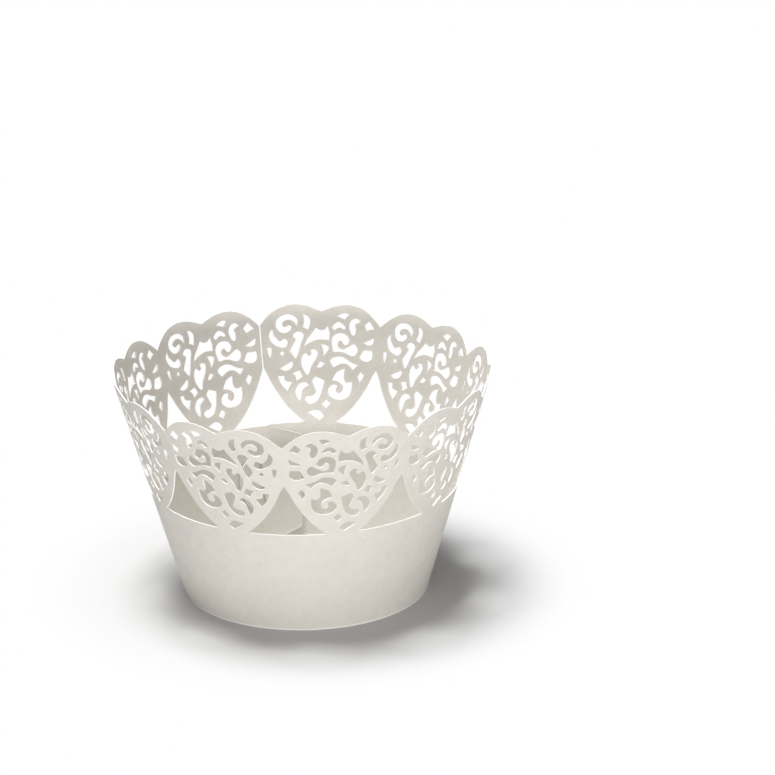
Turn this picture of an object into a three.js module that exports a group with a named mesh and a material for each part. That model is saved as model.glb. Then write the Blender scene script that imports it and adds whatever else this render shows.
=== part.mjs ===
// A cupcake wrapper: one sheet of pearlescent card, cut as a ring of joined filigree hearts that
// stand on a plain band, rolled into an open cone and closed at the back by a tongue in a slit.
// Millimetres, +Z up. The origin is the centre of the foot, on the table, and one heart faces -Y.

import * as THREE from "three";

// Driving dimensions. Those along the slant are measured on the card, from the edge they name.
const footDiameter = 55;
const topDiameter = 84.2;
const height = 51.6;
const cardThickness = 0.3;
const heartCount = 9;
const bandWidth = 26.25;
const heartFoot = 6.7;
const gapHeight = 13.2;
const neckLength = 9.9;
const cleftHeight = 51.95;

// The closure at the back
const seamGap = 0.5;
const flapWidth = 6;
const flapChamfer = 2.5;
const tongueHeight = 12;
const tongueLength = 7.5;
const slitInset = 2;
const slitWidth = 2;
const slitPlay = 0.5;
const lapClearance = 0.3;
const rampLength = 12;

// How fine the facets are: the largest gap between a facet's edge and the true surface, the
// chords in each span of a drawn curve, and the longest chord of the round edges. Points of two
// panels that lie closer than the last value are one point.
const rollTolerance = 0.15;
const spanSteps = 1;
const edgeChord = 4.9;
const sharedWithin = 0.0001;

const cardColour = "#ddd8ce";
const cardRoughness = 0.45;

// The cone, and the flat sector that it unrolls to. Slants are measured up from the foot edge.
const footRadius = footDiameter / 2;
const flare = topDiameter / 2 - footRadius;
const slantLength = Math.hypot(height, flare);
const sinSlope = flare / slantLength;
const cosSlope = height / slantLength;
const apexReach = footRadius / sinSlope;
const wallAcross = cardThickness / cosSlope;
const heartTurn = (2 * Math.PI) / heartCount;
const gapTop = bandWidth + gapHeight;
const notchSlant = gapTop + neckLength;

// The heart is drawn in its own flat frame: x across from its axis, y up the slant from the foot
// edge. It is drawn on a card of these sizes, and fitted to the heart that the dimensions give.
// Where the cleft is higher or lower than drawn, what lies near the heart's axis follows it.
const drawn = { band: 26.25, top: 53.65, halfPitch: 12.13, cleft: 51.95, lobeMiddle: 6.5 };
const halfPitch = (apexReach + bandWidth) * Math.tan((heartTurn * sinSlope) / 2);
const acrossScale = halfPitch / drawn.halfPitch;
const alongScale = (slantLength - bandWidth) / (drawn.top - drawn.band);

// A point is a place on a smooth curve unless it is marked as a sharp corner.
const sharp = true;

// One side of a heart from its foot to the gap's top, and one lobe from the neck to the cleft
const sideCurve = [[5.7, 28.1], [8.0, 30.5], [10.5, 34.0], [12.2, 37.1]];
const lobeCurve = [[12.9, 50.2], [11.4, 51.6], [9.3, 52.9], [6.5, 53.55], [3.7, 53.3], [1.6, 52.6]];

const cutOuts = {
  wedge: [
    [-12.8, 48.1, sharp], [-12.0, 48.2, sharp], [-10.8, 47.7, sharp], [-10.2, 48.9, sharp],
    [-11.5, 50.0, sharp],
  ],
  hookedComma: [
    [-9.4, 49.7, sharp], [-8.0, 49.1], [-8.2, 47.9], [-7.8, 46.6], [-7.0, 46.9], [-6.5, 48.4], [-6.9, 49.8],
    [-8.2, 50.5],
  ],
  topThorn: [[-6.6, 51.4, sharp], [-5.5, 50.2, sharp], [-3.6, 50.9, sharp], [-5.2, 51.6]],
  arch: [
    [-5.7, 48.2], [-5.2, 47.9], [-4.2, 48.35], [-3.0, 47.7], [-2.6, 48.5], [-3.9, 49.55], [-5.0, 49.1],
  ],
  sideLeaf: [[-12.7, 46.1, sharp], [-12.4, 44.8], [-11.2, 44.4], [-9.9, 44.8, sharp]],
  block: [
    [-12.3, 43.1, sharp], [-12.3, 41.6], [-11.3, 40.7], [-10.0, 40.8], [-9.0, 41.4, sharp],
    [-10.1, 43.2, sharp],
  ],
  upperScroll: [
    [-4.6, 45.3], [-5.3, 44.4], [-6.2, 44.5], [-6.6, 45.4], [-5.9, 46.6], [-4.4, 47.0], [-3.0, 46.4],
    [-2.4, 45.0], [-2.8, 42.6, sharp], [-5.0, 42.6], [-7.3, 41.8], [-8.4, 42.4], [-8.6, 43.5], [-7.7, 44.5],
    [-6.2, 43.7], [-5.0, 43.25], [-4.0, 43.8], [-3.9, 44.8],
  ],
  brow: [
    [-8.8, 39.7, sharp], [-7.5, 38.6, sharp], [-6.2, 39.8], [-4.7, 39.95], [-2.9, 39.0, sharp], [-2.1, 40.5],
    [-3.2, 41.4], [-5.0, 41.5], [-7.1, 40.3],
  ],
  sideDiamond: [[-9.5, 38.2, sharp], [-10.3, 37.3, sharp], [-9.2, 35.7, sharp], [-8.6, 37.0, sharp]],
  lowerScroll: [
    [-5.6, 38.8, sharp], [-5.4, 36.8], [-5.9, 35.65], [-7.4, 35.8, sharp], [-7.2, 33.8], [-6.4, 32.3],
    [-4.8, 31.6], [-3.0, 31.8], [-1.8, 32.8], [-1.8, 34.1], [-2.8, 35.0], [-3.8, 34.8], [-3.5, 33.7],
    [-4.2, 33.1], [-5.0, 33.7], [-5.0, 34.9], [-3.9, 35.8], [-2.6, 36.0, sharp], [-3.7, 37.9],
  ],
  crown: [
    [-1.8, 45.4, sharp], [0.4, 45.5], [2.4, 44.8], [3.9, 43.7, sharp], [3.3, 45.3], [2.3, 46.6],
    [1.2, 48.2, sharp], [0.5, 47.7], [-0.7, 47.7], [-1.5, 48.6, sharp], [-2.0, 46.9, sharp],
  ],
  crescent: [[0.0, 44.4, sharp], [-1.3, 44.1], [-1.8, 43.3], [-0.6, 41.6, sharp], [-0.5, 42.8]],
  teardrop: [
    [2.5, 42.95, sharp], [1.6, 43.15], [0.8, 42.6], [0.9, 41.4], [2.2, 39.1], [2.7, 37.5], [3.5, 37.5],
    [4.4, 39.3], [4.4, 41.2], [3.6, 42.25], [2.8, 41.6], [2.2, 42.1],
  ],
  middleLeaf: [[-1.0, 39.9, sharp], [0.0, 39.0], [1.0, 39.0, sharp], [0.15, 40.35, sharp]],
  hook: [
    [-0.9, 36.0, sharp], [-0.4, 33.9], [0.2, 32.1], [1.2, 30.9], [2.6, 30.5], [3.6, 31.4], [3.1, 32.2],
    [1.9, 32.4], [1.1, 33.2], [1.5, 34.4], [1.95, 35.8], [1.2, 36.85, sharp],
  ],
  lowerComma: [
    [2.6, 34.8, sharp], [4.0, 33.9], [4.35, 32.4], [4.7, 31.1, sharp], [5.4, 31.9], [5.8, 33.4], [5.0, 35.0],
    [3.6, 35.5],
  ],
  footDiamond: [[-1.35, 31.6, sharp], [-2.3, 30.6, sharp], [-1.3, 29.5, sharp], [-0.25, 30.4, sharp]],
  footLeaf: [[-0.9, 27.6, sharp], [0.2, 26.75, sharp], [3.0, 28.45, sharp], [1.4, 29.1], [0.0, 28.8]],
  topComma: [
    [4.2, 51.2, sharp], [3.1, 50.8], [2.5, 49.6], [3.0, 47.7, sharp], [4.3, 48.2, sharp], [3.95, 49.4],
  ],
  swirl: [
    [5.6, 48.5, sharp], [6.6, 49.7], [7.9, 49.95], [9.0, 49.1], [8.5, 48.2], [7.3, 48.7], [6.8, 48.0],
    [7.8, 47.0], [9.3, 47.0], [10.4, 48.3], [10.2, 49.9], [8.8, 51.0], [6.9, 51.1], [5.5, 50.0],
  ],
  stem: [
    [6.6, 46.0, sharp], [6.1, 46.9], [5.0, 47.2], [4.0, 46.4], [4.6, 44.4], [5.3, 42.0], [5.9, 41.1],
    [7.15, 42.7, sharp], [6.4, 44.2], [5.85, 45.4],
  ],
  sideComma: [
    [11.2, 47.8, sharp], [10.9, 46.4], [10.3, 45.7], [9.5, 44.95], [8.3, 45.5], [7.6, 44.5], [8.4, 43.5],
    [10.1, 43.8], [11.4, 44.7], [12.0, 46.4],
  ],
  dot: [[8.9, 42.6], [8.4, 42.1], [8.9, 41.6], [9.4, 42.1]],
  edgeLeaf: [[11.6, 43.55, sharp], [11.3, 42.7], [11.5, 41.0, sharp], [12.1, 41.9], [12.4, 43.3, sharp]],
  lowLeaf: [[6.6, 40.35, sharp], [6.4, 39.4], [7.2, 38.4], [8.4, 38.1], [9.4, 38.6, sharp]],
  kite: [[4.9, 38.2, sharp], [4.1, 36.8, sharp], [5.5, 35.85, sharp], [5.9, 37.0], [6.6, 37.55, sharp]],
  boot: [
    [9.8, 36.9, sharp], [8.35, 36.95, sharp], [8.1, 35.8], [6.5, 35.5, sharp], [7.6, 33.4, sharp],
    [9.1, 35.0],
  ],
};

// Places on the flat blank

// An azimuth round the cone and a slant up it, from -PI to PI and a little beyond at the closure
function atSlant(azimuth, slant) {
  const reach = apexReach + slant;
  return new THREE.Vector2(reach * Math.sin(azimuth * sinSlope), reach * Math.cos(azimuth * sinSlope));
}

// The azimuth of the middle of heart k, with the closure half a heart before heart 0
function heartAzimuth(k) {
  return -Math.PI + (k + 0.5) * heartTurn;
}

// How far a point of the drawing goes up or down with the cleft: all the way beside the cleft, less
// toward the heart's foot, and not at all from the middle of a lobe outward
function cleftShift(x, y) {
  const nearAxis = 1 - THREE.MathUtils.smoothstep(Math.abs(x), 0, drawn.lobeMiddle);
  const upHeart = (y - drawn.band) / (drawn.cleft - drawn.band);
  return (cleftHeight - drawn.cleft) * nearAxis * upHeart;
}

// A point of the heart drawing, fitted and turned into the place of heart k
function onHeart(k, [x, y]) {
  const upCard = (y + cleftShift(x, y) - drawn.band) * alongScale;
  const fitted = new THREE.Vector2(x * acrossScale, apexReach + bandWidth + upCard);
  return fitted.rotateAround(new THREE.Vector2(), -heartAzimuth(k) * sinSlope);
}

// A smooth curve through its points, as chords, without its last point
function chords(points) {
  const samples = new THREE.SplineCurve(points).getPoints((points.length - 1) * spanSteps);
  return samples.slice(0, -1);
}

// The points between two azimuths along one slant, without the last
function slantArc(from, to, slant) {
  const length = Math.abs(to - from) * (footRadius + slant * sinSlope);
  const steps = Math.ceil(length / edgeChord);
  const points = [];
  for (let i = 0; i < steps; i += 1) {
    points.push(atSlant(from + ((to - from) * i) / steps, slant));
  }
  return points;
}

// Outlines of the blank

// A cut-out of heart k, as smooth curves between its sharp corners
function cutOutline(k, drawing) {
  const start = Math.max(0, drawing.findIndex((point) => point[2] === sharp));
  const loop = [...drawing.slice(start), ...drawing.slice(0, start + 1)];
  const outline = [];
  let run = [];
  for (const point of loop) {
    run.push(onHeart(k, point));
    if (run.length > 1 && point[2] === sharp) {
      outline.push(...chords(run));
      run = [onHeart(k, point)];
    }
  }
  if (run.length > 1) {
    outline.push(...chords(run));
  }
  return outline;
}

// The azimuth at which one side of heart k meets the edge of the band
function heartFootAzimuth(k, side) {
  return heartAzimuth(k) + (side * heartFoot) / 2 / ((apexReach + bandWidth) * sinSlope);
}

// One side of heart k up from the band to the neck at the given azimuth; side is -1 or 1
function heartSide(k, side, neckAzimuth) {
  return [
    atSlant(heartFootAzimuth(k, side), bandWidth),
    ...sideCurve.map(([x, y]) => onHeart(k, [side * x, y])),
    atSlant(neckAzimuth, gapTop),
  ];
}

// Both lobes of heart k from right to left, between the necks at the given azimuths
function heartTop(k, rightNeck, leftNeck) {
  const cleft = atSlant(heartAzimuth(k), slantLength + cleftHeight - drawn.top);
  const rightLobe = lobeCurve.map((point) => onHeart(k, point));
  const leftLobe = lobeCurve.map(([x, y]) => onHeart(k, [-x, y])).reverse();
  return [
    ...chords([atSlant(rightNeck, notchSlant), ...rightLobe, cleft]),
    ...chords([cleft, ...leftLobe, atSlant(leftNeck, notchSlant)]),
  ];
}

// Where the closure's parts lie, as turns round the foot
const flapTurn = flapWidth / footRadius;
const slitStart = slitInset / footRadius;
const slitEnd = (slitInset + slitWidth) / footRadius;
const tongueTurn = tongueLength / footRadius;
const seamTurn = seamGap / topDiameter;
const tongueMiddle = bandWidth / 2;

// The rounded tongue that goes on from the end of the band, from its lower root to its upper one
function tongueOutline() {
  const tipSteps = 6;
  const points = [];
  for (const turn of [0, slitStart]) {
    points.push(atSlant(Math.PI + turn, tongueMiddle - tongueHeight / 2));
  }
  for (let i = 0; i <= tipSteps; i += 1) {
    const swing = -Math.PI / 2 + (Math.PI * i) / tipSteps;
    const turn = slitEnd + (tongueTurn - slitEnd) * Math.cos(swing);
    points.push(atSlant(Math.PI + turn, tongueMiddle + (tongueHeight / 2) * Math.sin(swing)));
  }
  for (const turn of [slitStart, 0]) {
    points.push(atSlant(Math.PI + turn, tongueMiddle + tongueHeight / 2));
  }
  return points;
}

// The slit that the tongue goes through, near the start of the blank
function slitOutline() {
  const low = tongueMiddle - tongueHeight / 2 - slitPlay;
  const high = tongueMiddle + tongueHeight / 2 + slitPlay;
  return [
    atSlant(-Math.PI + slitStart, low),
    atSlant(-Math.PI + slitEnd, low),
    atSlant(-Math.PI + slitEnd, high),
    atSlant(-Math.PI + slitStart, high),
  ];
}

// The flap that lies inside the end with the tongue, from its upper corner to its lower one
function flapOutline() {
  return [
    atSlant(-Math.PI - flapTurn, bandWidth - flapChamfer),
    atSlant(-Math.PI - flapTurn, flapChamfer),
  ];
}

// Heart k with the band below it: along the foot, up the right side, back over the lobes and down
function panelOutline(k) {
  const isFirst = k === 0;
  const isLast = k === heartCount - 1;
  const left = heartAzimuth(k) - heartTurn / 2;
  const right = heartAzimuth(k) + heartTurn / 2;
  const leftNeck = isFirst ? left + seamTurn : left;
  const rightNeck = isLast ? right - seamTurn : right;
  return [
    ...slantArc(left, right, 0),
    atSlant(right, 0),
    ...(isLast ? tongueOutline() : []),
    ...slantArc(right, heartFootAzimuth(k, 1), bandWidth),
    ...chords(heartSide(k, 1, rightNeck)),
    atSlant(rightNeck, gapTop),
    ...heartTop(k, rightNeck, leftNeck),
    atSlant(leftNeck, notchSlant),
    ...chords(heartSide(k, -1, leftNeck).reverse()),
    ...slantArc(heartFootAzimuth(k, -1), left, bandWidth),
    atSlant(left, bandWidth),
    ...(isFirst ? flapOutline() : []),
  ];
}

// Every hole in that panel
function panelHoles(k) {
  const holes = Object.values(cutOuts).map((drawing) => cutOutline(k, drawing));
  return k === 0 ? [slitOutline(), ...holes] : holes;
}

// The flat blank in triangles, panel by panel. Panels share the points on their common edge.
function flatBlank() {
  const points = [];
  const triangles = [];
  const indices = new Map();
  const indexOf = (point) => {
    const key = `${Math.round(point.x / sharedWithin)} ${Math.round(point.y / sharedWithin)}`;
    if (!indices.has(key)) {
      indices.set(key, points.length);
      points.push(point);
    }
    return indices.get(key);
  };
  for (let k = 0; k < heartCount; k += 1) {
    const outline = panelOutline(k);
    const holes = panelHoles(k);
    const corners = [...outline, ...holes.flat()].map(indexOf);
    for (const triangle of THREE.ShapeUtils.triangulateShape(outline, holes)) {
      triangles.push(triangle.map((corner) => corners[corner]));
    }
  }
  return { points, triangles };
}

// Rolling the blank

// How far the card stands out from the cone. The end with the tongue rises over the flap, and the
// tongue then dips through the slit to the inside.
function lapOffset(azimuth) {
  const lap = wallAcross + lapClearance;
  const rampTurn = rampLength / footRadius;
  const overFlap = Math.PI - 2 * flapTurn;
  const rise = THREE.MathUtils.smoothstep(azimuth, overFlap - rampTurn, overFlap);
  const dip = THREE.MathUtils.smoothstep(azimuth, Math.PI + slitStart, Math.PI + slitEnd);
  return lap * (rise - 2 * dip);
}

// The place on the cone of a point of the blank, a given distance in from the outer face
function roll(point, inward) {
  const azimuth = Math.atan2(point.x, point.y) / sinSlope;
  const slant = point.length() - apexReach;
  const radius = footRadius + slant * sinSlope + lapOffset(azimuth) - inward;
  return new THREE.Vector3(radius * Math.sin(azimuth), -radius * Math.cos(azimuth), slant * cosSlope);
}

// How far a straight edge between two points of the blank leaves the rolled card
function edgeError(a, b) {
  const from = roll(a, 0);
  const to = roll(b, 0);
  const errors = [0.25, 0.5, 0.75].map((share) => {
    const onCard = roll(new THREE.Vector2().lerpVectors(a, b, share), 0);
    return onCard.distanceTo(new THREE.Vector3().lerpVectors(from, to, share));
  });
  return Math.max(...errors);
}

// Splits the triangles at the middle of every edge that leaves the rolled card too far, longest
// first. An edge has one error and one middle for both its triangles, so the halves still meet.
function refine(points, triangles) {
  const middles = new Map();
  const finished = [];
  const waiting = [...triangles];
  const isRough = ([a, b]) => edgeError(points[Math.min(a, b)], points[Math.max(a, b)]) > rollTolerance;
  const lengthOf = ([a, b]) => points[a].distanceTo(points[b]);
  const middleOf = (a, b) => {
    const key = `${Math.min(a, b)} ${Math.max(a, b)}`;
    if (!middles.has(key)) {
      middles.set(key, points.length);
      points.push(points[a].clone().add(points[b]).multiplyScalar(0.5));
    }
    return middles.get(key);
  };
  while (waiting.length > 0) {
    const [a, b, c] = waiting.pop();
    const rough = [[a, b, c], [b, c, a], [c, a, b]].filter(isRough);
    if (rough.length === 0) {
      finished.push([a, b, c]);
    } else {
      const [from, to, opposite] = rough.sort((one, other) => lengthOf(other) - lengthOf(one))[0];
      const middle = middleOf(from, to);
      waiting.push([from, middle, opposite], [middle, to, opposite]);
    }
  }
  return finished;
}

// The rolled card as one closed body: outer face, inner face and the cut edges between them
function rolledCard({ points, triangles }) {
  const faces = refine(points, triangles);
  const count = points.length;
  const index = [];
  const edges = new Set();
  for (const [a, b, c] of faces) {
    index.push(a, b, c, count + a, count + c, count + b);
    edges.add(`${a} ${b}`).add(`${b} ${c}`).add(`${c} ${a}`);
  }
  for (const edge of edges) {
    const [a, b] = edge.split(" ").map(Number);
    if (!edges.has(`${b} ${a}`)) {
      index.push(b, a, count + a, b, count + a, count + b);
    }
  }
  const outer = points.map((point) => roll(point, 0));
  const inner = points.map((point) => roll(point, wallAcross));
  const geometry = new THREE.BufferGeometry().setFromPoints([...outer, ...inner]);
  geometry.setIndex(index);
  geometry.computeVertexNormals();
  return geometry;
}

const card = new THREE.MeshStandardMaterial({ color: cardColour, roughness: cardRoughness, metalness: 0 });
const wrapper = new THREE.Mesh(rolledCard(flatBlank()), card);
wrapper.name = "wrapper";

const group = new THREE.Group();
group.add(wrapper);

export default group;
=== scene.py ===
import math

import bpy
import numpy as np
from mathutils import Matrix, Vector
from mathutils.geometry import delaunay_2d_cdt


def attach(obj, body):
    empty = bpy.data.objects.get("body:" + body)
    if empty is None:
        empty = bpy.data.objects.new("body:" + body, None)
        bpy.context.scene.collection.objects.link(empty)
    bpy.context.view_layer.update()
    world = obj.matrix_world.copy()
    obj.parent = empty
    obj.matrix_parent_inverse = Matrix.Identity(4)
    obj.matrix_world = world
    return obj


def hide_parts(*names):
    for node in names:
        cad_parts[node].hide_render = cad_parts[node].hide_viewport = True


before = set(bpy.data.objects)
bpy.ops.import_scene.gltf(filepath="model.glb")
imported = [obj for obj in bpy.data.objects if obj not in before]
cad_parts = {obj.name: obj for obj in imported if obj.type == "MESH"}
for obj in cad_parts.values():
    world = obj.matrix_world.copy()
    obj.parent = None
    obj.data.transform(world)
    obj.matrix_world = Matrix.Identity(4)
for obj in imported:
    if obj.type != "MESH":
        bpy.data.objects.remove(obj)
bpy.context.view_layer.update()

mm = 0.001


# One value in a node tree. Arithmetic on it adds Math nodes.
class Wire:
    def __init__(self, nodes, socket):
        self.nodes = nodes
        self.socket = socket

    def __add__(self, other):
        return self.nodes.math("ADD", self, other)

    def __radd__(self, other):
        return self.nodes.math("ADD", other, self)

    def __sub__(self, other):
        return self.nodes.math("SUBTRACT", self, other)

    def __rsub__(self, other):
        return self.nodes.math("SUBTRACT", other, self)

    def __mul__(self, other):
        return self.nodes.math("MULTIPLY", self, other)

    def __rmul__(self, other):
        return self.nodes.math("MULTIPLY", other, self)

    def __truediv__(self, other):
        return self.nodes.math("DIVIDE", self, other)

    def __neg__(self):
        return self.nodes.math("MULTIPLY", self, -1.0)


# Adds nodes to one tree: a type, its settings, then the values or links of its sockets
class Nodes:
    def __init__(self, tree):
        self.tree = tree

    def add(self, kind, settings=None, inputs=None):
        made = self.tree.nodes.new(kind)
        for name, value in (settings or {}).items():
            setattr(made, name, value)
        for key, value in (inputs or {}).items():
            if isinstance(value, Wire):
                value = value.socket
            if isinstance(value, bpy.types.NodeSocket):
                self.tree.links.new(value, made.inputs[key])
            else:
                made.inputs[key].default_value = value
        return made

    def wire(self, socket):
        return Wire(self, socket)

    def math(self, operation, *values):
        made = self.add("ShaderNodeMath", {"operation": operation}, dict(enumerate(values)))
        return self.wire(made.outputs[0])


# The sheet of card, in millimetres. Slants are measured up the card from the foot edge.
sizes = {
    "footRadius": 27.5,
    "topRadius": 42.1,
    "height": 51.6,
    "thickness": 0.3,
    "hearts": 9,
    "band": 26.25,
    "heartFoot": 6.7,
    "gapTop": 39.45,
    "notch": 49.35,
    "cleft": 51.95,
    "drawnBand": 26.25,
    "drawnTop": 53.65,
    "drawnHalfPitch": 12.13,
    "seamGap": 0.5,
    "flap": 6.0,
    "flapChamfer": 2.5,
    "tongueHeight": 12.0,
    "tongueLength": 7.5,
    "slitInset": 2.0,
    "slitWidth": 2.0,
    "slitPlay": 0.5,
    "lapClearance": 0.3,
    "ramp": 12.0,
}

# How fine the mesh is: steps in each curve, then lengths in millimetres. Rows of fill points lie
# closer than the points in a row, and points closer than the last value are one point.
meshing = {
    "curveSteps": 6,
    "rootSteps": 8,
    "tipSteps": 24,
    "edgeStep": 0.8,
    "fillStep": 0.9,
    "rowShare": 0.866,
    "fillMargin": 0.42,
    "snap": 1e-6,
    "mergeWithin": 0.002,
    "sharpDegrees": 40,
}

# The heart as it is drawn: x across from its axis, y up the slant from the foot edge.
# A point marked True is a sharp corner, and the others lie on smooth curves.
sideCurve = [(5.7, 28.1), (8.0, 30.5), (10.5, 34.0), (12.2, 37.1)]
lobeCurve = [(12.9, 50.2), (11.4, 51.6), (9.3, 52.9), (6.5, 53.55), (3.7, 53.3), (1.6, 52.6)]
cutOuts = {
    "wedge": [
        (-12.8, 48.1, True), (-12.0, 48.2, True), (-10.8, 47.7, True), (-10.2, 48.9, True),
        (-11.5, 50.0, True),
    ],
    "hookedComma": [
        (-9.4, 49.7, True), (-8.0, 49.1), (-8.2, 47.9), (-7.8, 46.6), (-7.0, 46.9), (-6.5, 48.4),
        (-6.9, 49.8), (-8.2, 50.5),
    ],
    "topThorn": [(-6.6, 51.4, True), (-5.5, 50.2, True), (-3.6, 50.9, True), (-5.2, 51.6)],
    "arch": [
        (-5.7, 48.2), (-5.2, 47.9), (-4.2, 48.35), (-3.0, 47.7), (-2.6, 48.5), (-3.9, 49.55),
        (-5.0, 49.1),
    ],
    "sideLeaf": [(-12.7, 46.1, True), (-12.4, 44.8), (-11.2, 44.4), (-9.9, 44.8, True)],
    "block": [
        (-12.3, 43.1, True), (-12.3, 41.6), (-11.3, 40.7), (-10.0, 40.8), (-9.0, 41.4, True),
        (-10.1, 43.2, True),
    ],
    "upperScroll": [
        (-4.6, 45.3), (-5.3, 44.4), (-6.2, 44.5), (-6.6, 45.4), (-5.9, 46.6), (-4.4, 47.0),
        (-3.0, 46.4), (-2.4, 45.0), (-2.8, 42.6, True), (-5.0, 42.6), (-7.3, 41.8), (-8.4, 42.4),
        (-8.6, 43.5), (-7.7, 44.5), (-6.2, 43.7), (-5.0, 43.25), (-4.0, 43.8), (-3.9, 44.8),
    ],
    "brow": [
        (-8.8, 39.7, True), (-7.5, 38.6, True), (-6.2, 39.8), (-4.7, 39.95), (-2.9, 39.0, True),
        (-2.1, 40.5), (-3.2, 41.4), (-5.0, 41.5), (-7.1, 40.3),
    ],
    "sideDiamond": [
        (-9.5, 38.2, True), (-10.3, 37.3, True), (-9.2, 35.7, True), (-8.6, 37.0, True),
    ],
    "lowerScroll": [
        (-5.6, 38.8, True), (-5.4, 36.8), (-5.9, 35.65), (-7.4, 35.8, True), (-7.2, 33.8),
        (-6.4, 32.3), (-4.8, 31.6), (-3.0, 31.8), (-1.8, 32.8), (-1.8, 34.1), (-2.8, 35.0),
        (-3.8, 34.8), (-3.5, 33.7), (-4.2, 33.1), (-5.0, 33.7), (-5.0, 34.9), (-3.9, 35.8),
        (-2.6, 36.0, True), (-3.7, 37.9),
    ],
    "crown": [
        (-1.8, 45.4, True), (0.4, 45.5), (2.4, 44.8), (3.9, 43.7, True), (3.3, 45.3), (2.3, 46.6),
        (1.2, 48.2, True), (0.5, 47.7), (-0.7, 47.7), (-1.5, 48.6, True), (-2.0, 46.9, True),
    ],
    "crescent": [(0.0, 44.4, True), (-1.3, 44.1), (-1.8, 43.3), (-0.6, 41.6, True), (-0.5, 42.8)],
    "teardrop": [
        (2.5, 42.95, True), (1.6, 43.15), (0.8, 42.6), (0.9, 41.4), (2.2, 39.1), (2.7, 37.5),
        (3.5, 37.5), (4.4, 39.3), (4.4, 41.2), (3.6, 42.25), (2.8, 41.6), (2.2, 42.1),
    ],
    "middleLeaf": [(-1.0, 39.9, True), (0.0, 39.0), (1.0, 39.0, True), (0.15, 40.35, True)],
    "hook": [
        (-0.9, 36.0, True), (-0.4, 33.9), (0.2, 32.1), (1.2, 30.9), (2.6, 30.5), (3.6, 31.4),
        (3.1, 32.2), (1.9, 32.4), (1.1, 33.2), (1.5, 34.4), (1.95, 35.8), (1.2, 36.85, True),
    ],
    "lowerComma": [
        (2.6, 34.8, True), (4.0, 33.9), (4.35, 32.4), (4.7, 31.1, True), (5.4, 31.9), (5.8, 33.4),
        (5.0, 35.0), (3.6, 35.5),
    ],
    "footDiamond": [
        (-1.35, 31.6, True), (-2.3, 30.6, True), (-1.3, 29.5, True), (-0.25, 30.4, True),
    ],
    "footLeaf": [
        (-0.9, 27.6, True), (0.2, 26.75, True), (3.0, 28.45, True), (1.4, 29.1), (0.0, 28.8),
    ],
    "topComma": [
        (4.2, 51.2, True), (3.1, 50.8), (2.5, 49.6), (3.0, 47.7, True), (4.3, 48.2, True),
        (3.95, 49.4),
    ],
    "swirl": [
        (5.6, 48.5, True), (6.6, 49.7), (7.9, 49.95), (9.0, 49.1), (8.5, 48.2), (7.3, 48.7),
        (6.8, 48.0), (7.8, 47.0), (9.3, 47.0), (10.4, 48.3), (10.2, 49.9), (8.8, 51.0), (6.9, 51.1),
        (5.5, 50.0),
    ],
    "stem": [
        (6.6, 46.0, True), (6.1, 46.9), (5.0, 47.2), (4.0, 46.4), (4.6, 44.4), (5.3, 42.0),
        (5.9, 41.1), (7.15, 42.7, True), (6.4, 44.2), (5.85, 45.4),
    ],
    "sideComma": [
        (11.2, 47.8, True), (10.9, 46.4), (10.3, 45.7), (9.5, 44.95), (8.3, 45.5), (7.6, 44.5),
        (8.4, 43.5), (10.1, 43.8), (11.4, 44.7), (12.0, 46.4),
    ],
    "dot": [(8.9, 42.6), (8.4, 42.1), (8.9, 41.6), (9.4, 42.1)],
    "edgeLeaf": [
        (11.6, 43.55, True), (11.3, 42.7), (11.5, 41.0, True), (12.1, 41.9), (12.4, 43.3, True),
    ],
    "lowLeaf": [(6.6, 40.35, True), (6.4, 39.4), (7.2, 38.4), (8.4, 38.1), (9.4, 38.6, True)],
    "kite": [
        (4.9, 38.2, True), (4.1, 36.8, True), (5.5, 35.85, True), (5.9, 37.0), (6.6, 37.55, True),
    ],
    "boot": [
        (9.8, 36.9, True), (8.35, 36.95, True), (8.1, 35.8), (6.5, 35.5, True), (7.6, 33.4, True),
        (9.1, 35.0),
    ],
}

# What follows from the sizes: the cone, and the flat sector that it unrolls to
slantLength = math.hypot(sizes["height"], sizes["topRadius"] - sizes["footRadius"])
sinSlope = (sizes["topRadius"] - sizes["footRadius"]) / slantLength
cosSlope = sizes["height"] / slantLength
apexReach = sizes["footRadius"] / sinSlope
heartTurn = 2 * math.pi / sizes["hearts"]
footTurn = sizes["heartFoot"] / 2 / (sizes["footRadius"] + sizes["band"] * sinSlope)
halfPitch = (apexReach + sizes["band"]) * math.tan(heartTurn * sinSlope / 2)
acrossScale = halfPitch / sizes["drawnHalfPitch"]
alongScale = (slantLength - sizes["band"]) / (sizes["drawnTop"] - sizes["drawnBand"])


# A point of the flat sector, for an azimuth round the cone and a slant up it
def atSlant(azimuth, slant):
    reach = apexReach + slant
    return (reach * math.sin(azimuth * sinSlope), reach * math.cos(azimuth * sinSlope))


# A point of the heart drawing, fitted to the heart that the sizes give
def onHeart(x, y):
    return (x * acrossScale, apexReach + sizes["band"] + (y - sizes["drawnBand"]) * alongScale)


# A smooth curve through its points, without the last one. A ring ends at its first point.
def smoothCurve(points, isRing=False):
    path = np.array(points, float)
    before, after = (path[-2:-1], path[1:2]) if isRing else (path[:1], path[-1:])
    padded = np.vstack([before, path, after])
    made = []
    for before, start, end, after in zip(padded, padded[1:], padded[2:], padded[3:]):
        leave = (end - before) / 2
        arrive = (after - start) / 2
        for step in range(meshing["curveSteps"]):
            t = step / meshing["curveSteps"]
            cubic = (2 * start - 2 * end + leave + arrive) * t ** 3
            square = (3 * end - 3 * start - 2 * leave - arrive) * t ** 2
            made.append(tuple(cubic + square + leave * t + start))
    return made


# Points along one slant between two azimuths, without the last one
def slantArc(start, end, slant):
    length = abs(end - start) * (sizes["footRadius"] + slant * sinSlope)
    steps = max(1, math.ceil(length / meshing["edgeStep"]))
    return [atSlant(start + (end - start) * i / steps, slant) for i in range(steps)]


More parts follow.
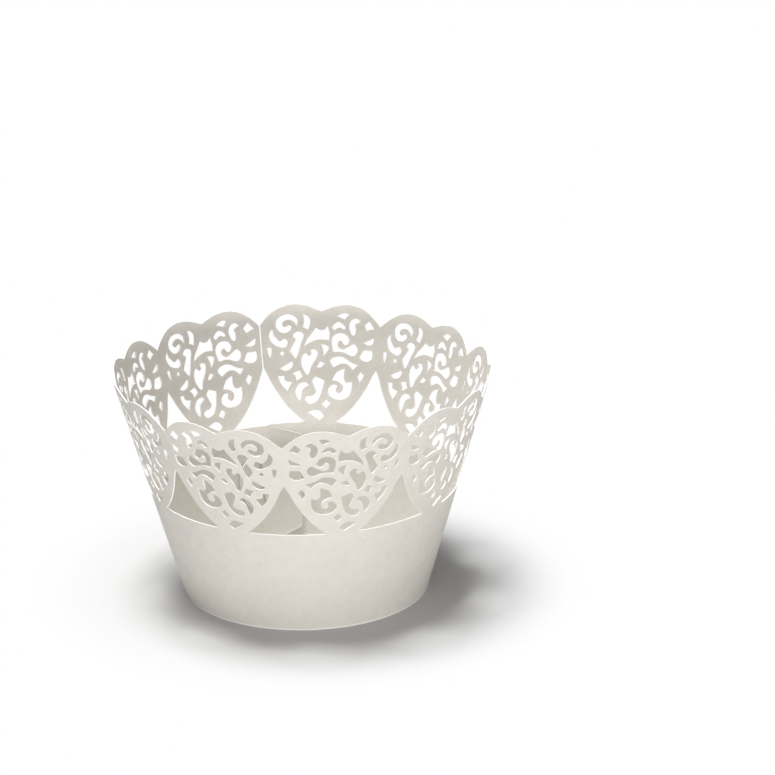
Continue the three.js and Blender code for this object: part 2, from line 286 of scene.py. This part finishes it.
# A cut-out's whole outline; one without a corner goes round smoothly from its first point
def cutOutline(drawing):
    corners = [i for i, point in enumerate(drawing) if len(point) > 2]
    start = corners[0] if corners else 0
    loop = drawing[start:] + drawing[:start + 1]
    outline = []
    run = []
    for point in loop:
        run.append(onHeart(*point[:2]))
        if len(run) > 1 and len(point) > 2:
            outline += smoothCurve(run) if len(run) > 2 else run[:1]
            run = run[-1:]
    return outline + (smoothCurve(run, isRing=True) if not corners else [])


# One heart's side from the band to the neck; side is -1 or 1
def heartSide(side, neck):
    drawnSide = [onHeart(side * x, y) for x, y in sideCurve]
    return [atSlant(side * footTurn, sizes["band"]), *drawnSide, atSlant(neck, sizes["gapTop"])]


# Both lobes from the right neck to the left one
def heartTop(rightNeck, leftNeck):
    cleft = atSlant(0, slantLength + sizes["cleft"] - sizes["drawnTop"])
    right = [onHeart(x, y) for x, y in lobeCurve]
    left = [(-x, y) for x, y in reversed(right)]
    return (smoothCurve([atSlant(rightNeck, sizes["notch"]), *right, cleft])
            + smoothCurve([cleft, *left, atSlant(leftNeck, sizes["notch"])]))


# The closure's turns round the foot
flapTurn = sizes["flap"] / sizes["footRadius"]
slitStart = sizes["slitInset"] / sizes["footRadius"]
slitEnd = (sizes["slitInset"] + sizes["slitWidth"]) / sizes["footRadius"]
tongueTurn = sizes["tongueLength"] / sizes["footRadius"]
seamTurn = sizes["seamGap"] / 2 / sizes["topRadius"]
tongueMiddle = sizes["band"] / 2


# The tongue past the right end of the last panel, with a round tip
def tongueOutline(root):
    half = sizes["tongueHeight"] / 2
    turns = [root + slitEnd * i / meshing["rootSteps"] for i in range(meshing["rootSteps"])]
    lower = [atSlant(turn, tongueMiddle - half) for turn in turns]
    tip = []
    for i in range(meshing["tipSteps"] + 1):
        swing = -math.pi / 2 + math.pi * i / meshing["tipSteps"]
        turn = root + slitEnd + (tongueTurn - slitEnd) * math.cos(swing)
        tip.append(atSlant(turn, tongueMiddle + half * math.sin(swing)))
    upper = [atSlant(turn, tongueMiddle + half) for turn in reversed(turns)]
    return lower + tip + upper


# The slit near the left end of the first panel
def slitOutline(root):
    half = sizes["tongueHeight"] / 2 + sizes["slitPlay"]
    low, high = tongueMiddle - half, tongueMiddle + half
    start, end = root + slitStart, root + slitEnd
    return [atSlant(start, low), atSlant(end, low), atSlant(end, high), atSlant(start, high)]


# The loops of one panel: a heart with the band below it. The first has the flap and the slit,
# the last has the tongue.
def panelLoops(isFirst, isLast):
    left = -heartTurn / 2
    right = heartTurn / 2
    leftNeck = left + (seamTurn if isFirst else 0)
    rightNeck = right - (seamTurn if isLast else 0)
    band = sizes["band"]
    outline = slantArc(left, right, 0) + [atSlant(right, 0)]
    outline += tongueOutline(right) if isLast else []
    outline += slantArc(right, footTurn, band)
    outline += smoothCurve(heartSide(1, rightNeck)) + [atSlant(rightNeck, sizes["gapTop"])]
    outline += heartTop(rightNeck, leftNeck) + [atSlant(leftNeck, sizes["notch"])]
    outline += smoothCurve(heartSide(-1, leftNeck)[::-1])
    outline += slantArc(-footTurn, left, band) + [atSlant(left, band)]
    if isFirst:
        outline += [atSlant(left - flapTurn, band - sizes["flapChamfer"]),
                    atSlant(left - flapTurn, sizes["flapChamfer"])]
    loops = [outline] + [cutOutline(drawing) for drawing in cutOuts.values()]
    return loops + ([slitOutline(left)] if isFirst else [])


# Whether points lie on the card: an odd number of edges is crossed on the way out
def onCard(points, loops):
    starts = np.vstack(loops)
    ends = np.vstack([np.roll(np.array(loop), -1, axis=0) for loop in loops])
    x, y = points[:, :1], points[:, 1:]
    spans = (starts[:, 1] > y) != (ends[:, 1] > y)
    rise = np.where(ends[:, 1] == starts[:, 1], 1, ends[:, 1] - starts[:, 1])
    crossing = starts[:, 0] + (y - starts[:, 1]) * (ends[:, 0] - starts[:, 0]) / rise
    return (spans & (x < crossing)).sum(axis=1) % 2 == 1


# Points on the card in even staggered rows, clear of its edges
def fillPoints(loops):
    low, high = loops[0].min(axis=0), loops[0].max(axis=0)
    step = meshing["fillStep"]
    across = np.arange(low[0], high[0], step)
    along = np.arange(low[1], high[1], step * meshing["rowShare"])
    columns, rows = np.meshgrid(across, along)
    columns = columns + (np.arange(len(along)) % 2)[:, None] * step / 2
    fill = np.stack([columns.ravel(), rows.ravel()], axis=1)
    fill = fill[onCard(fill, loops)]
    edgePoints = np.vstack(loops)
    nearest = np.array([np.hypot(*(edgePoints - point).T).min() for point in fill])
    return fill[nearest > meshing["fillMargin"]]


# A flat mesh of one panel, filled with even triangles and turned to its place on the blank
def flatPanel(name, isFirst=False, isLast=False, azimuth=0.0):
    loops = [np.array(loop) for loop in panelLoops(isFirst, isLast)]
    edges = []
    first = 0
    for loop in loops:
        count = len(loop)
        edges += [(first + i, first + (i + 1) % count) for i in range(count)]
        first += count
    points = [Vector(point) for point in np.vstack([*loops, fillPoints(loops)])]
    wholeHull = 0
    made, _, faces, _, _, _ = delaunay_2d_cdt(points, edges, [], wholeHull, meshing["snap"])
    corners = np.array([tuple(point) for point in made])
    triangles = np.array(faces)
    triangles = triangles[onCard(corners[triangles].mean(axis=1), loops)]
    turn = -azimuth * sinSlope
    cosTurn, sinTurn = math.cos(turn), math.sin(turn)
    turned = corners @ np.array([[cosTurn, sinTurn], [-sinTurn, cosTurn]])
    mesh = bpy.data.meshes.new(name)
    vertices = np.column_stack([turned * mm, np.zeros(len(turned))])
    mesh.from_pydata(vertices.tolist(), [], triangles.tolist())
    if mesh.polygons[0].normal.z < 0:
        mesh.flip_normals()
    return bpy.data.objects.new(name, mesh)


# Card and cut edge

cardLook = {
    "pale": (0.78, 0.745, 0.683),
    "grey": (0.69, 0.657, 0.602),
    "grain": {"Scale": 2200.0, "Detail": 4.0},
    "cloud": {"Scale": 420.0, "Detail": 3.0},
    "grainShare": 0.55,
    "fleckRange": (0.3, 0.7),
    "roughness": (0.42, 0.58),
    "metallic": 0.08,
    "coat": 0.06,
    "coatRoughness": 0.3,
    "bumpStrength": 0.35,
    "bumpDepth": 0.000012,
    "cutEdge": (0.95, 0.93, 0.90),
    "cutEdgeRoughness": 0.8,
    # the heights above the foot, in millimetres, of the painted highlight line
    "paintedFootHighlight": (0.24, 0.36),
}


def cardMaterial():
    material = bpy.data.materials.new("pearlCard")
    material.use_nodes = True
    nodes = Nodes(material.node_tree)
    shader = material.node_tree.nodes["Principled BSDF"]
    place = nodes.add("ShaderNodeTexCoord").outputs["Object"]
    grain = nodes.add("ShaderNodeTexNoise", {}, {"Vector": place, **cardLook["grain"]})
    cloud = nodes.add("ShaderNodeTexNoise", {}, {"Vector": place, **cardLook["cloud"]})
    grainShare = cardLook["grainShare"]
    fleck = (nodes.wire(grain.outputs["Fac"]) * grainShare
             + nodes.wire(cloud.outputs["Fac"]) * (1 - grainShare))
    fleckLow, fleckHigh = cardLook["fleckRange"]
    mixed = nodes.add("ShaderNodeMapRange", {}, {
        "Value": fleck, "From Min": fleckLow, "From Max": fleckHigh})
    share = nodes.wire(mixed.outputs[0])
    tint = nodes.add("ShaderNodeMix", {"data_type": "RGBA"}, {
        "Factor": share, "A": (*cardLook["grey"], 1), "B": (*cardLook["pale"], 1)})
    # a thin pale line painted on the face just above the foot, in the cut edge's colour: a painted
    # highlight where the foot's cut edge catches light
    height = nodes.add("ShaderNodeSeparateXYZ", {}, {0: place}).outputs["Z"]
    highlightFrom, highlightTo = cardLook["paintedFootHighlight"]
    above = nodes.add("ShaderNodeMapRange", {}, {
        "Value": height, "From Min": highlightFrom * mm, "From Max": highlightTo * mm})
    withPaintedHighlight = nodes.add("ShaderNodeMix", {"data_type": "RGBA"}, {
        "Factor": above.outputs[0], "A": (*cardLook["cutEdge"], 1), "B": tint.outputs["Result"]})
    smooth, rough = cardLook["roughness"]
    nodes.tree.links.new(withPaintedHighlight.outputs["Result"], shader.inputs["Base Color"])
    nodes.tree.links.new((rough - share * (rough - smooth)).socket, shader.inputs["Roughness"])
    bump = nodes.add("ShaderNodeBump", {}, {
        "Strength": cardLook["bumpStrength"], "Distance": cardLook["bumpDepth"],
        "Height": grain.outputs["Fac"]})
    nodes.tree.links.new(bump.outputs["Normal"], shader.inputs["Normal"])
    shader.inputs["Metallic"].default_value = cardLook["metallic"]
    shader.inputs["Coat Weight"].default_value = cardLook["coat"]
    shader.inputs["Coat Roughness"].default_value = cardLook["coatRoughness"]
    return material


def edgeMaterial():
    material = bpy.data.materials.new("cutEdge")
    material.use_nodes = True
    shader = material.node_tree.nodes["Principled BSDF"]
    shader.inputs["Base Color"].default_value = (*cardLook["cutEdge"], 1)
    shader.inputs["Roughness"].default_value = cardLook["cutEdgeRoughness"]
    return material


# The tree that lays the panels out flat, gives them the card's thickness and rolls the sheet
def rollingTree(card, cutEdge):
    tree = bpy.data.node_groups.new("rolledWrapper", "GeometryNodeTree")
    sockets = {
        "NodeSocketGeometry": ["Panel"],
        "NodeSocketObject": ["First Panel", "Last Panel"],
        "NodeSocketInt": ["Middle Panels"],
        "NodeSocketFloat": ["First Angle", "Angle Step", "Thickness", "Foot Radius", "Sin Slope",
                            "Cos Slope", "Apex Reach", "Lap", "Rise Start", "Rise End", "Dip Start",
                            "Dip End", "Merge Within"],
    }
    for kind, names in sockets.items():
        for name in names:
            tree.interface.new_socket(name, in_out="INPUT", socket_type=kind)
    tree.interface.new_socket("Wrapper", in_out="OUTPUT", socket_type="NodeSocketGeometry")
    nodes = Nodes(tree)
    given = nodes.add("NodeGroupInput").outputs
    value = {name: nodes.wire(given[name]) for name in given.keys() if name not in ("", "Panel")}

    # middle panels side by side on the blank
    single = nodes.add("GeometryNodeGeometryToInstance", {}, {"Geometry": given["Panel"]})
    copies = nodes.add("GeometryNodeDuplicateElements", {"domain": "INSTANCE"}, {
        "Geometry": single.outputs[0], "Amount": given["Middle Panels"]})
    angle = value["First Angle"] + nodes.wire(copies.outputs["Duplicate Index"]) * value["Angle Step"]
    spin = nodes.add("ShaderNodeCombineXYZ", {}, {"Z": angle})
    turned = nodes.add("GeometryNodeRotateInstances", {}, {
        "Instances": copies.outputs["Geometry"], "Rotation": spin.outputs[0]})
    first = nodes.add("GeometryNodeObjectInfo", {}, {"Object": given["First Panel"]})
    last = nodes.add("GeometryNodeObjectInfo", {}, {"Object": given["Last Panel"]})
    joined = nodes.add("GeometryNodeJoinGeometry")
    for source in (turned.outputs[0], first.outputs["Geometry"], last.outputs["Geometry"]):
        tree.links.new(source, joined.inputs[0])
    laidOut = nodes.add("GeometryNodeRealizeInstances", {}, {"Geometry": joined.outputs[0]})
    blank = nodes.add("GeometryNodeMergeByDistance", {}, {
        "Geometry": laidOut.outputs[0], "Distance": given["Merge Within"]})

    # the card's thickness, with its cut edges
    down = nodes.add("ShaderNodeCombineXYZ", {}, {"Z": -value["Thickness"]})
    pressed = nodes.add("GeometryNodeExtrudeMesh", {"mode": "FACES"}, {
        "Mesh": blank.outputs[0], "Offset": down.outputs[0], "Offset Scale": 1.0, "Individual": False})
    flipped = nodes.add("GeometryNodeFlipFaces", {}, {"Mesh": pressed.outputs["Mesh"]})
    both = nodes.add("GeometryNodeJoinGeometry")
    tree.links.new(flipped.outputs[0], both.inputs[0])
    tree.links.new(blank.outputs[0], both.inputs[0])
    sheet = nodes.add("GeometryNodeMergeByDistance", {}, {
        "Geometry": both.outputs[0], "Distance": given["Merge Within"]})

    # rolled to a cone; the end with the tongue rises over the flap and dips through the slit
    position = nodes.add("GeometryNodeInputPosition")
    parts = nodes.add("ShaderNodeSeparateXYZ", {}, {0: position.outputs[0]})
    x, y, z = [nodes.wire(socket) for socket in parts.outputs]
    reach = nodes.math("SQRT", x * x + y * y)
    azimuth = nodes.math("ARCTAN2", x, y) / value["Sin Slope"]
    slant = reach - value["Apex Reach"]
    rise = nodes.add("ShaderNodeMapRange", {"interpolation_type": "SMOOTHSTEP"}, {
        "Value": azimuth, "From Min": value["Rise Start"], "From Max": value["Rise End"]})
    dip = nodes.add("ShaderNodeMapRange", {"interpolation_type": "SMOOTHSTEP"}, {
        "Value": azimuth, "From Min": value["Dip Start"], "From Max": value["Dip End"]})
    lap = value["Lap"] * (nodes.wire(rise.outputs[0]) - nodes.wire(dip.outputs[0]) * 2.0)
    radius = value["Foot Radius"] + slant * value["Sin Slope"] + lap + z / value["Cos Slope"]
    place = nodes.add("ShaderNodeCombineXYZ", {}, {
        "X": radius * nodes.math("SINE", azimuth),
        "Y": -(radius * nodes.math("COSINE", azimuth)),
        "Z": slant * value["Cos Slope"]})
    rolled = nodes.add("GeometryNodeSetPosition", {}, {
        "Geometry": sheet.outputs[0], "Position": place.outputs[0]})
    smooth = nodes.add("GeometryNodeSetShadeSmooth", {}, {"Geometry": rolled.outputs[0]})
    real = nodes.add("GeometryNodeRealizeInstances", {}, {"Geometry": smooth.outputs[0]})
    covered = nodes.add("GeometryNodeSetMaterial", {}, {"Geometry": real.outputs[0], "Material": card})
    trimmed = nodes.add("GeometryNodeSetMaterial", {}, {
        "Geometry": covered.outputs[0], "Selection": pressed.outputs["Side"], "Material": cutEdge})
    nodes.add("NodeGroupOutput", {}, {0: trimmed.outputs[0]})
    return tree


def buildWrapper():
    middle = flatPanel("middlePanel")
    first = flatPanel("firstPanel", isFirst=True, azimuth=-math.pi + heartTurn / 2)
    last = flatPanel("lastPanel", isLast=True, azimuth=math.pi - heartTurn / 2)
    print("panels drawn,", len(middle.data.polygons), "triangles in one")
    for panel in (middle, first, last):
        bpy.context.scene.collection.objects.link(panel)
    tree = rollingTree(cardMaterial(), edgeMaterial())
    modifier = middle.modifiers.new("roll", "NODES")
    modifier.node_group = tree
    overFlap = math.pi - 2 * flapTurn
    wallAcross = sizes["thickness"] / cosSlope
    given = {
        "First Panel": first,
        "Last Panel": last,
        "Middle Panels": sizes["hearts"] - 2,
        "First Angle": (sizes["hearts"] - 3) / 2 * heartTurn * sinSlope,
        "Angle Step": -heartTurn * sinSlope,
        "Thickness": sizes["thickness"] * mm,
        "Foot Radius": sizes["footRadius"] * mm,
        "Sin Slope": sinSlope,
        "Cos Slope": cosSlope,
        "Apex Reach": apexReach * mm,
        "Lap": (wallAcross + sizes["lapClearance"]) * mm,
        "Rise Start": overFlap - sizes["ramp"] / sizes["footRadius"],
        "Rise End": overFlap,
        "Dip Start": math.pi + slitStart,
        "Dip End": math.pi + slitEnd,
        "Merge Within": meshing["mergeWithin"] * mm,
    }
    for item in tree.interface.items_tree:
        if item.in_out == "INPUT" and item.name in given:
            modifier[item.identifier] = given[item.name]
    bpy.context.view_layer.update()
    evaluated = middle.evaluated_get(bpy.context.evaluated_depsgraph_get())
    mesh = bpy.data.meshes.new_from_object(evaluated)
    mesh.set_sharp_from_angle(angle=math.radians(meshing["sharpDegrees"]))
    mesh.name = "filigreeWrapper"
    wrapper = bpy.data.objects.new("filigreeWrapper", mesh)
    bpy.context.scene.collection.objects.link(wrapper)
    for panel in (middle, first, last):
        bpy.data.objects.remove(panel)
    print("wrapper rolled,", len(mesh.polygons), "faces")
    return wrapper


wrapper = buildWrapper()
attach(wrapper, "root")
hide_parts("wrapper")


# Floor, light and camera

studio = {
    "floorSize": 6.0,
    "floorRoughness": 0.9,
    "floorBounce": 0.6,
    "floorSeen": 0.67,
    "shadowFade": (0.033, 0.064),
    "worldLight": 0.22,
    "keyPower": 12.5,
    "keySize": (0.35, 0.35),
    "keyPlace": (-0.16, 0.14, 1.05),
    "fillPower": 8.4,
    "fillSize": (0.9, 0.08),
    "fillPlace": (-0.08, -1.15, 0.055),
    "aim": (0, 0, 0.03),
}


# A white floor. The camera sees it brighter than it shines on the card, with its shadow near the
# object, and plain white farther out.
def buildFloor():
    half = studio["floorSize"] / 2
    mesh = bpy.data.meshes.new("floor")
    corners = [(-half, -half, 0), (half, -half, 0), (half, half, 0), (-half, half, 0)]
    mesh.from_pydata(corners, [], [(0, 1, 2, 3)])
    material = bpy.data.materials.new("whiteFloor")
    material.use_nodes = True
    nodes = Nodes(material.node_tree)
    shader = material.node_tree.nodes["Principled BSDF"]
    seen = nodes.wire(nodes.add("ShaderNodeLightPath").outputs["Is Camera Ray"])
    brightness = studio["floorBounce"] + seen * (studio["floorSeen"] - studio["floorBounce"])
    material.node_tree.links.new(brightness.socket, shader.inputs["Base Color"])
    shader.inputs["Roughness"].default_value = studio["floorRoughness"]
    shader.inputs["Specular IOR Level"].default_value = 0.0
    place = nodes.add("ShaderNodeTexCoord").outputs["Object"]
    distance = nodes.add("ShaderNodeVectorMath", {"operation": "LENGTH"}, {0: place}).outputs["Value"]
    near, far = studio["shadowFade"]
    fade = nodes.add("ShaderNodeMapRange", {"interpolation_type": "SMOOTHSTEP"}, {
        "Value": distance, "From Min": near, "From Max": far})
    white = nodes.add("ShaderNodeEmission", {}, {"Strength": 1.0})
    mix = nodes.add("ShaderNodeMixShader", {}, {
        0: nodes.wire(fade.outputs[0]) * seen, 1: shader.outputs[0], 2: white.outputs[0]})
    output = material.node_tree.nodes["Material Output"]
    material.node_tree.links.new(mix.outputs[0], output.inputs["Surface"])
    mesh.materials.append(material)
    floor = bpy.data.objects.new("floor", mesh)
    bpy.context.scene.collection.objects.link(floor)


def buildWorld():
    world = bpy.data.worlds.new("studio")
    bpy.context.scene.world = world
    world.use_nodes = True
    nodes = Nodes(world.node_tree)
    background = world.node_tree.nodes["Background"]
    background.inputs["Color"].default_value = (1, 1, 1, 1)
    seen = nodes.wire(nodes.add("ShaderNodeLightPath").outputs["Is Camera Ray"])
    strength = studio["worldLight"] + seen * (1 - studio["worldLight"])
    world.node_tree.links.new(strength.socket, background.inputs["Strength"])


def softLamp(name, power, size, place):
    lamp = bpy.data.lights.new(name, "AREA")
    lamp.energy = power
    lamp.shape = "RECTANGLE"
    lamp.size, lamp.size_y = size
    holder = bpy.data.objects.new(name, lamp)
    holder.location = place
    toward = Vector(studio["aim"]) - Vector(place)
    holder.rotation_euler = toward.to_track_quat("-Z", "Y").to_euler()
    holder.visible_camera = False
    bpy.context.scene.collection.objects.link(holder)


# The photograph's camera, found from the wrapper's edges: where it stands round the wrapper's
# axis, and which way it looks. Angles are in radians, and the focal length is in pixels.
photoCamera = {
    "imageSide": 775,
    "focalPixels": 4000.0,
    "distance": 0.83266,
    "height": 0.34942,
    "azimuth": -0.23398,
    "yaw": 0.0227,
    "pitch": -0.34928,
    "roll": -0.01484,
    "sensor": 36.0,
    "clipStart": 0.01,
}


def buildCamera():
    look = photoCamera
    forward = Vector((math.sin(look["yaw"]) * math.cos(look["pitch"]),
                      math.cos(look["yaw"]) * math.cos(look["pitch"]), math.sin(look["pitch"])))
    level = Vector((math.cos(look["yaw"]), -math.sin(look["yaw"]), 0))
    above = level.cross(forward)
    right = math.cos(look["roll"]) * level + math.sin(look["roll"]) * above
    up = math.cos(look["roll"]) * above - math.sin(look["roll"]) * level
    aim = Matrix((right, up, -forward)).transposed().to_4x4()
    stand = Matrix.Translation((0, -look["distance"], look["height"]))
    camera = bpy.data.cameras.new("photoCamera")
    camera.sensor_width = look["sensor"]
    camera.lens = look["focalPixels"] / look["imageSide"] * look["sensor"]
    camera.clip_start = look["clipStart"]
    holder = bpy.data.objects.new("photoCamera", camera)
    holder.matrix_world = Matrix.Rotation(look["azimuth"], 4, "Z") @ stand @ aim
    bpy.context.scene.collection.objects.link(holder)
    bpy.context.scene.camera = holder


buildFloor()
buildWorld()
softLamp("keyLamp", studio["keyPower"], studio["keySize"], studio["keyPlace"])
softLamp("fillLamp", studio["fillPower"], studio["fillSize"], studio["fillPlace"])
buildCamera()
bpy.context.scene.view_settings.view_transform = "Standard"
print("studio ready")
